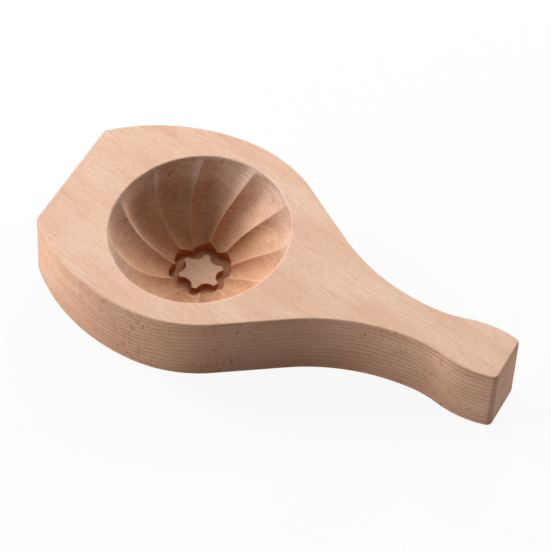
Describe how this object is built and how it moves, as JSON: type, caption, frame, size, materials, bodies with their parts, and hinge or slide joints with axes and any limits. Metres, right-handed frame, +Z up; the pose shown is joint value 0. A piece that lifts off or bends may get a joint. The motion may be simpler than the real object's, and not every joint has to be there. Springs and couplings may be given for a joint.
{
  "type": "wooden bun mold",
  "caption": "Paddle-shaped beech press mold: a twisted, fluted flower bowl carved in a broad head, with a slim waisted handle.",
  "frame": {"origin": "on the flat underside, straight below the middle of the bowl's rim", "axes": "+X runs from the bowl's middle along the handle, +Z points up out of the bowl, and +Y completes the right-handed frame across the head"},
  "size_m": [0.1975, 0.103, 0.031],
  "materials": {
    "beech": "fine-sanded, unvarnished"
  },
  "bodies": {
    "root": {"mold_body": "beech"}
  },
  "joints": []
}
